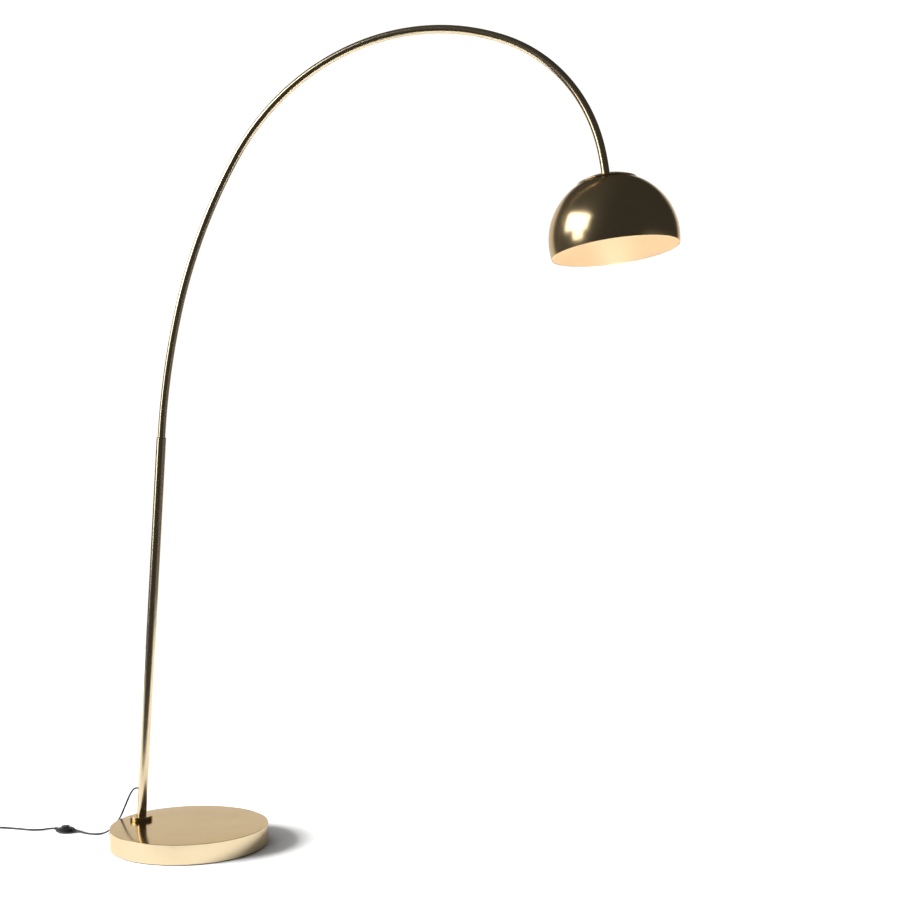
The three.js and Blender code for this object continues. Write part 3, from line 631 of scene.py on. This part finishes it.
# ---- pole --------------------------------------------------------------------------------------------------
def make_pole():
    radius, wall = COLLAR_RADIUS / MM, COLLAR_WALL / MM
    low, high = GAP / MM, (GAP + COLLAR_HEIGHT) / MM
    bore = POLE_RADIUS / MM + 0.35
    collar = turned("pole_collar_ring", rounded([
        (radius - wall, low), (radius, low, 0.3), (radius, high, 1.3), (bore, high, 0.5), (bore, high - wall),
        (radius - wall, high - wall, 1),
    ]), brass_collar, foot_place, 128, ring=True)
    settle(collar, "base", "brass_finish", "pole_collar")

    steps = 24
    path = [(0, POLE_START + (POLE_LENGTH - POLE_START) * i / steps, 0) for i in range(steps)]
    path.append((0, POLE_LENGTH, 0))
    shaft = pipe("pole_shaft", path, POLE_RADIUS, TUBE_WALL, brass_drawn, pole_place, 96)
    sideways = pole_place @ Matrix.Translation((0, 0, OUTLET_HEIGHT)) @ Matrix.Rotation(-math.pi / 2, 4, "Y")
    screw_z = POLE_LENGTH - GRUB_DEPTH
    screw_side = pole_place @ Matrix.Translation((0, 0, screw_z)) @ Matrix.Rotation(-math.pi / 2, 4, "Y")
    cuts = []
    for name, hole, side in (("outlet_cut", OUTLET_RADIUS, sideways), ("screw_cut", GRUB_HOLE, screw_side)):
        r = hole / MM
        cuts.append(turned(name, [(0, 6), (r, 6), (r, 16), (0, 16)], brass_drawn, side, 40))
    settle(carve(shaft, *cuts), "base", "brass_finish", "pole_tube")

    skin = POLE_RADIUS / MM
    grommet = turned("lead_outlet_grommet", rounded([
        (2.7, skin - 3), (3.9, skin - 3), (3.9, skin), (4.2, skin, 0.1), (4.2, skin + 1.4, 0.6),
        (2.7, skin + 1.4, 0.5),
    ]), rubber, sideways, 48, ring=True)
    settle(grommet, "base", "cord_rubber", "lead_grommet")

    length, lip = POLE_LENGTH / MM, GUIDE_LIP / MM
    guide = turned("pole_guide_liner", rounded([
        (10.08, length - GUIDE_LENGTH / MM), (11.0, length - GUIDE_LENGTH / MM, 0.3), (11.0, length + 0.3),
        (12.2, length + 0.3, 0.2), (12.2, length + 0.3 + lip, 0.7), (10.08, length + 0.3 + lip, 0.3),
    ]), nylon, pole_place, 64, ring=True)
    settle(guide, "base", "black_plastic", "pole_guide_bush")


# ---- arc ---------------------------------------------------------------------------------------------------
def make_arc():
    tube = pipe("arc_pipe", arc_path, ARM_RADIUS, TUBE_WALL, brass_drawn, pole_place, 64)
    settle(tube, "arc", "brass_finish", "arc_tube")


# ---- shade -------------------------------------------------------------------------------------------------
def shell_outline(outer, inner, start, end, steps, soften=0.3):
    """A shell between two spheres, in millimetres, from one angle off the axis to another. Edges are soft."""
    outside = on_sphere(outer, end - soften / 2, start + soften / 2, steps)
    inside = on_sphere(inner, start + soften / 2, end - soften / 2, steps)
    middle = (outer + inner) / 2
    return [*outside, *on_sphere(middle, start, start, 1)[:1], *inside, *on_sphere(middle, end, end, 1)[:1]]


def make_shade():
    outer, inner = DOME_RADIUS / MM, (DOME_RADIUS - DOME_WALL) / MM
    opening = 90 + math.asin(DOME_OPENING / DOME_RADIUS) / DEG
    outline = shell_outline(outer, inner, DOME_HOLE, opening, 96, 0.22)
    bowl = turned("shade_bowl", outline, brass_shade, shade_place, 256, ring=True)
    settle(bowl, "shade", "brass_finish", "shade_dome")
    outer = inner - 0.02
    inner = outer - COAT_THICKNESS / MM
    outline = shell_outline(outer, inner, DOME_HOLE + 0.2, opening - 0.3, 72, 0.05)
    coat = turned("shade_inside_coat", outline, inside_white, shade_place, 192, ring=True)
    settle(coat, "shade", "shade_inside_white")

    outer, inner = CAP_RADIUS / MM, (CAP_RADIUS - CAP_WALL) / MM
    lip = DOME_RADIUS / MM + CAP_LIP_GAP
    face = on_sphere(outer, CAP_HOLE, CAP_ANGLE - 0.35, 36)
    roll = [
        *on_sphere(outer - 0.25, CAP_ANGLE, CAP_ANGLE, 1)[:1],
        *on_sphere((outer + lip) / 2, CAP_ANGLE + 0.2, 0, 1)[:1],
    ]
    rim = [
        *on_sphere(lip, CAP_ANGLE + 0.1, CAP_ANGLE - 0.25, 2),
        *on_sphere(inner, CAP_ANGLE - 0.6, CAP_HOLE, 36),
    ]
    cap = turned("shade_neck_cap", [*face, *roll, *rim], brass_shade, shade_place, 192, ring=True, sharp=50)
    settle(cap, "arc", "brass_finish", "shade_cap")

    outer = DISH_RADIUS / MM
    outline = shell_outline(outer, outer - DISH_WALL / MM, DISH_HOLE, DISH_ANGLE, 28, 0.25)
    dish = turned("shade_carrier", outline, inside_white, shade_place, 128, ring=True)
    settle(dish, "carrier", "shade_inside_white", "carrier_dish")
    outer = RING_RADIUS / MM
    outline = shell_outline(outer, outer - RING_WALL / MM, RING_ANGLE, DISH_ANGLE, 4, 0.1)
    lining = turned("shade_friction_lining", outline, nylon, shade_place, 128, ring=True)
    settle(lining, "carrier", "black_plastic", "friction_ring")
    return coat


# ---- lampholder and bulb -----------------------------------------------------------------------------------
def local_span(node):
    """A turned node's lowest and highest point along the shade's axis, in millimetres."""
    back = shade_place.inverted()
    heights = [(back @ v.co).z / MM for v in frame["nodes"][node].data.vertices]
    return min(heights), max(heights)


def make_lampholder():
    low, high = local_span("lampholder_cap")
    cap = turned("lampholder_crown", rounded([
        (17.5, low), (19.5, low, 0.4), (19.5, low + 3, 0.5), (18.9, low + 3.6, 0.5), (18.9, high - 6, 3),
        (14.5, high, 2), (5.4, high, 0.3), (5.4, high - 2), (13.5, high - 2, 2), (17.5, high - 6, 2),
    ]), glaze, shade_place, 72, ring=True)
    settle(cap, "arc", "white_ceramic", "lampholder_cap")
    low, high = local_span("lampholder_body")
    grooves = []
    for i in range(5):
        z = low + 8 + 3.2 * i
        grooves += [(19.5, z, 0.3), (18.8, z + 0.6, 0.3), (18.8, z + 1.2, 0.3), (19.5, z + 1.8, 0.3)]
    skirt = turned("lampholder_skirt", rounded([
        (17.5, low, 0.5), (19.5, low, 0.8), *grooves, (19.5, high, 0.4), (17.5, high),
    ], 3), glaze, shade_place, 72, ring=True)
    settle(skirt, "arc", "white_ceramic", "lampholder_body")

    low, high = local_span("bulb_cap")
    thread = []
    turns = 5
    for i in range(turns):
        z = low + 2 + (high - 8 - low) * i / turns
        thread += [(13.2, z + 0.6, 0.7), (12.5, z + 2.0, 0.7)]
    screw = turned("bulb_screw_cap", rounded([
        (0, low), (13.0, low, 0.2), *thread, (13.0, high - 6, 0.6), (5.2, high - 2, 0.8),
        (4, high - 1.6, 0.4), (3.6, high, 0.5), (0, high),
    ], 3), nickel, shade_place, 64)
    settle(screw, "arc", "steel", "bulb_cap")
    low, high = local_span("bulb_glass")
    centre = low + BULB_GLOBE
    neck = on_sphere(BULB_GLOBE, 180, 38, 40)
    points = [Vector((p.x, p.y + centre)) for p in neck]
    points[0].x = 0
    glass = turned("globe_bulb", [*points, *rounded([
        (points[-1].x * 0.86, points[-1].y + 5.2, 6), (12.9, high - 4, 4), (12.9, high, 0.5), (0, high),
    ])], opal, shade_place, 96)
    settle(glass, "arc", "opal_glass", "bulb_glass")


# ---- floor switch ------------------------------------------------------------------------------------------
def make_spring():
    """A round wire spring with close end turns under the button."""
    low, high = (corner[2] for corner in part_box("switch_spring"))
    wire = SPRING_WIRE * MM
    rings = []
    count = SPRING_TURNS * SPRING_STEPS
    angles = [2 * math.pi * j / 12 for j in range(12)]
    for i in range(count + 1):
        a = 2 * math.pi * i / SPRING_STEPS
        z = low + wire + (high - low - 2 * wire) * smooth(i / count)
        out = Vector((math.cos(a), math.sin(a), 0))
        centre = out * SPRING_RADIUS * MM + Vector((SWITCH_X, SWITCH_Y, z))
        rings.append([centre + (out * math.cos(b) + Vector((0, 0, math.sin(b)))) * wire for b in angles])
    spring = settle(lofted("switch_return_spring", rings, nickel, sharp=60), "base", "steel", "switch_spring")
    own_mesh(spring)
    return spring


def make_switch():
    place = Matrix.Translation((SWITCH_X, SWITCH_Y, 0))
    lower = turned("switch_lower_shell", rounded([
        (0, 0), (19, 0, 1.6), (24, 3.25, 4), (25.4, 6.35, 0.4), (23.8, 6.35), (22.4, 3.25, 3), (18, 1.6, 1),
        (0, 1.6),
    ]), plastic, place, 96)
    upper = turned("switch_upper_shell", rounded([
        (23.8, 6.65), (25.4, 6.65, 0.4), (23.2, 9.2, 3.5), (17.2, 11.8, 9), (12.2, 12.5, 1.2),
        (10.75, 12.3, 0.4), (10.75, 10.9), (17, 10.2, 4), (21.4, 8.2, 2),
    ]), plastic, place, 96, ring=True)
    leadways = []
    for name in ("leadway_low", "leadway_high"):
        across = place @ Matrix.Translation((0, 0, SWITCH_RIM)) @ Matrix.Rotation(math.pi / 2, 4, "Y")
        leadways.append(turned(name, [(0, -32), (3.62, -32), (3.62, 32), (0, 32)], plastic, across, 40))
    settle(carve(lower, leadways[0]), "base", "black_plastic", "switch_bottom_shell")
    settle(carve(upper, leadways[1]), "base", "black_plastic", "switch_top_shell")

    button = turned("switch_push_button", rounded([
        (0, 14.5), (6, 14.5), (6, 9.6), (11.8, 9.6), (11.8, 10.6), (10.6, 10.6), (10.6, 16.2, 1.3),
        (9.2, 17.3, 0.8), (6.4, 17.0, 3), (3, 16.7, 3), (0, 16.6),
    ]), plastic, place, 72)
    settle(button, "switch_plunger", "black_plastic", "switch_button")
    spring = make_spring()
    ribs = 3
    made = []
    ends = ((1, "switch_inlet_relief", "switch_relief_in"), (-1, "switch_outlet_relief", "switch_relief_out"))
    for side, name, node in ends:
        outline = [(0, 20.4), (3.3, 20.4), (3.3, 25.6), (4.2, 25.6, 0.4)]
        for i in range(ribs):
            r, z = 4.1 - 0.3 * i, 27.4 + 2.2 * i
            outline += [(r, z, 0.3), (r - 0.8, z + 0.3, 0.2)]
            outline += [(r - 0.8, z + 1.0, 0.2), (r - 0.1, z + 1.3, 0.3)]
        outline += [(3.1, 34.7, 0.4), (2.55, 34.7, 0.1), (2.55, 30), (0, 30)]
        turn = Matrix.Rotation(side * math.pi / 2, 4, "Y")
        spot = place @ Matrix.Translation((0, 0, SWITCH_RIM)) @ turn
        made.append(settle(turned(name, rounded(outline, 3), rubber, spot, 48), "base", "cord_rubber", node))
    return [lower, upper, button, spring, *made]


# ---- plug --------------------------------------------------------------------------------------------------
def plug_section(x, half_width, half_height, corner, steps=6):
    """One rounded-rectangle ring across the plug."""
    ring = []
    for quarter, (sy, sz) in enumerate(((1, 1), (-1, 1), (-1, -1), (1, -1))):
        for i in range(steps + 1):
            a = (quarter + i / steps) * math.pi / 2
            y = sy * (half_width - corner) + corner * math.cos(a)
            z = sz * (half_height - corner) + corner * math.sin(a)
            ring.append(Vector((x, y, z)) * MM)
    return ring


def make_plug():
    place = Matrix.Translation((PLUG_X, PLUG_Y, PLUG_Z))
    rings = [plug_section(0, 5.2, 4.6, 3.6), plug_section(0.5, 6.2, 5.4, 3.8)]
    steps = 22
    for i in range(1, steps + 1):
        t = i / steps
        swell = smooth(t * 1.45)
        grip = 0.45 * (1 if i % 3 == 1 and 3 < i < 16 else 0)
        half_width = 6.8 + 7.1 * swell - grip
        rings.append(plug_section(0.5 + 30.7 * t, half_width, 5.7 + 1.0 * swell - grip, 4.2))
    rings.append(plug_section(31.7, 13.4, 6.3, 3.8))
    rings.append(plug_section(32, 12.6, 5.6, 3.2))
    body = lofted("plug_housing", rings, plastic, place, sharp=40)
    settle(body, "base", "black_plastic", "plug_body")

    outline = [(0, -12), (2.55, -12), (2.55, -25, 0.1), (3.1, -25, 0.3)]
    for i in range(6):
        z = -22.5 + 3.4 * i
        r = 3.25 + 0.22 * i
        outline += [(r, z, 0.3), (r - 0.75, z + 0.4, 0.2), (r - 0.75, z + 1.3, 0.2), (r + 0.1, z + 1.7, 0.3)]
    outline += [(4.6, -0.3, 0.2), (0, -0.3)]
    lengthways = place @ Matrix.Rotation(math.pi / 2, 4, "Y")
    relief = turned("plug_sleeve", rounded(outline, 3), rubber, lengthways, 48)
    settle(relief, "base", "cord_rubber", "plug_strain_relief")

    pins = []
    for side, number in ((1, 1), (-1, 2)):
        spot = place @ Matrix.Translation((0, side * 9.5 * MM, 0)) @ Matrix.Rotation(math.pi / 2, 4, "Y")
        pin = turned(f"plug_contact_pin_{number}", rounded([
            (0, 32.3), (2, 32.3), (2, 42.3, 0.1), (1.85, 42.5, 0.1), (1.85, 51.3, 1.5), (0, 51.3),
        ]), nickel, spot, 40)
        pin.data.materials.append(plastic)
        for face in pin.data.polygons:
            if face.center.x < PLUG_X + 42.4 * MM:
                face.material_index = 1
        pins.append(settle(pin, "base", "steel", f"plug_pin_{number}"))
    return [relief, body, *pins]


# ---- free lead ---------------------------------------------------------------------------------------------
def declare_cords(switch_pieces, plug_pieces):
    for lead in (upper_lead, lower_lead):
        lead.data.materials.append(sheath)
    settle(upper_lead, "base", "cord_rubber", "cord_to_switch")
    settle(lower_lead, "base", "cord_rubber", "cord_to_coil", "cord_coil", "cord_tail")


# ---- finishes of the carried-over nodes --------------------------------------------------------------------
CARRIED_FINISH = {
    "steel": zinc,
    "cast_ballast": ballast,
    "pad_rubber": pad,
    "cord_rubber": rubber,
    "black_plastic": nylon,
    "shade_inside_white": inside_white,
    "contact_brass": contact_brass,
    "brass_finish": brass_drawn,
    "white_ceramic": glaze,
    "opal_glass": opal,
}


def finish_carried_nodes():
    for part in frame["record"]["subparts"]:
        for place in frame["nodes"][part["node"]].material_slots:
            place.material = CARRIED_FINISH[part["material_slot"]]


# ---- studio ------------------------------------------------------------------------------------------------
LOOK = Vector((-0.347, 0.938, 0))  # level, from the camera to the lamp
FLOOR_FRONT = 0.75  # in front of the pole
FLOOR_BACK = 4.0
FLOOR_HALF_WIDTH = 3.0
FLOOR_DEPTH = 0.001
FLOOR_GAP = 0.0002  # between the lamp and the floor's top
KEY_SIDE = Vector((-0.82, -0.57, 0))  # where the floor's light comes from
KEYS = (("key_low", 12, 50, 23.3), ("key_high", 45, 100, 1.2))  # elevation and spread in degrees, strength
SOFTBOX_DISTANCE = 40.0
SOFTBOX_CENTRE = Vector((0.5, 0, 1))  # what the softboxes face
SOFTBOXES = (  # direction, width and height in degrees, radiance
    ("softbox_high", (-0.841, -0.541, 0.456), 44, 23, 5.0),
    ("softbox_low", (-0.785, -0.62, 0.1), 19, 15, 4.0),
)
BACKDROP_SEEN = 1.05  # what the camera sees past the floor


def make_floor():
    n = Nodes("studio_floor")
    colour = n.mix(n.between(n.noise(3, 3), 0, 1), rgb(0.82, 0.82, 0.82), rgb(0.8, 0.8, 0.8))
    n.set(Base_Color=colour, Roughness=n.between(n.noise(9, 3), 0.85, 0.95), Specular_IOR_Level=0.1)
    across = LOOK.cross((0, 0, 1)) * FLOOR_HALF_WIDTH
    pole = Vector((POLE_X, 0, 0))
    front, back = pole - LOOK * FLOOR_FRONT, pole + LOOK * FLOOR_BACK
    corners = (front - across, front + across, back + across, back - across)
    rings = [[q + Vector((0, 0, z)) for q in corners] for z in (-FLOOR_DEPTH, -FLOOR_GAP)]
    floor = lofted("floor", rings, n.material)
    floor.visible_diffuse = False


def aim(light, target):
    light.rotation_mode = "QUATERNION"
    light.rotation_quaternion = (Vector(target) - light.location).to_track_quat("-Z", "Y")


def softbox(name, location, target, width, height, radiance):
    """A plain rectangular light that only shows in reflections."""
    light = bpy.data.objects.new(name, bpy.data.lights.new(name, "AREA"))
    light.data.shape = "RECTANGLE"
    light.data.size = width
    light.data.size_y = height
    light.data.energy = radiance * math.pi * width * height
    light.location = location
    aim(light, target)
    light.visible_diffuse = False
    light.visible_camera = False
    bpy.context.scene.collection.objects.link(light)


def make_lights(coat):
    """Two broad keys that leave the shade's inside to its bulb, and two softboxes for the reflections."""
    unlit = bpy.data.collections.new("unlit_by_keys")
    unlit.objects.link(coat)
    unlit.collection_objects[0].light_linking.link_state = "EXCLUDE"
    for name, elevation, spread, strength in KEYS:
        key = bpy.data.objects.new(name, bpy.data.lights.new(name, "SUN"))
        key.data.energy = strength
        key.data.angle = spread * DEG
        key.location = KEY_SIDE * math.cos(elevation * DEG) + Vector((0, 0, math.sin(elevation * DEG)))
        aim(key, (0, 0, 0))
        key.visible_glossy = False
        key.visible_camera = False
        key.light_linking.receiver_collection = unlit
        bpy.context.scene.collection.objects.link(key)
    for name, direction, wide, tall, radiance in SOFTBOXES:
        width, height = (2 * SOFTBOX_DISTANCE * math.tan(angle * DEG / 2) for angle in (wide, tall))
        location = SOFTBOX_CENTRE + Vector(direction).normalized() * SOFTBOX_DISTANCE
        softbox(name, location, SOFTBOX_CENTRE, width, height, radiance)


def make_world():
    """White behind the lamp and to the camera; a dim studio with a bright backdrop in the reflections."""
    world = bpy.data.worlds.new("studio")
    bpy.context.scene.world = world
    world.use_nodes = True
    tree = world.node_tree
    tree.nodes.clear()

    def add(kind, inputs=None, **settings):
        return add_node(tree, kind, inputs, **settings)

    def ramp(value, start, end, low, high):
        inputs = {"Value": value, "From Min": start, "From Max": end, "To Min": low, "To Max": high}
        return add("ShaderNodeMapRange", inputs, interpolation_type="SMOOTHSTEP").outputs["Result"]

    def calc(operation, a, b):
        return add("ShaderNodeMath", {0: a, 1: b}, operation=operation).outputs[0]

    def facing(direction):
        inputs = {0: ray, 1: direction}
        return add("ShaderNodeVectorMath", inputs, operation="DOT_PRODUCT").outputs["Value"]

    ray = add("ShaderNodeTexCoord").outputs["Generated"]
    height = add("ShaderNodeSeparateXYZ", {"Vector": ray}).outputs["Z"]
    behind = ramp(facing(LOOK), 0.68, 0.82, 0, 1)
    backdrop = calc("MULTIPLY", behind, ramp(height, 0.42, 0.54, 1, 0))
    right = calc("MULTIPLY", ramp(facing((0.94, 0.34, 0)), 0.6, 0.9, 0, 0.13), ramp(height, 0.04, 0.17, 1, 0))
    left = ramp(facing((-0.9, -0.1, 0.42)), 0.2, 0.9, 0.055, 0.1)
    level = calc("MAXIMUM", backdrop, calc("ADD", left, right))
    seen = add("ShaderNodeBackground", {"Color": WHITE, "Strength": BACKDROP_SEEN})
    felt = add("ShaderNodeBackground", {"Color": WHITE, "Strength": level})
    camera = add("ShaderNodeLightPath").outputs["Is Camera Ray"]
    mixed = add("ShaderNodeMixShader", {0: camera, 1: felt.outputs[0], 2: seen.outputs[0]})
    add("ShaderNodeOutputWorld", {"Surface": mixed.outputs[0]})


make_base()
make_pole()
make_arc()
shade_coat = make_shade()
make_lampholder()
declare_cords(make_switch(), make_plug())
finish_carried_nodes()
make_floor()
make_lights(shade_coat)
make_world()
bpy.context.scene.view_settings.view_transform = "Standard"
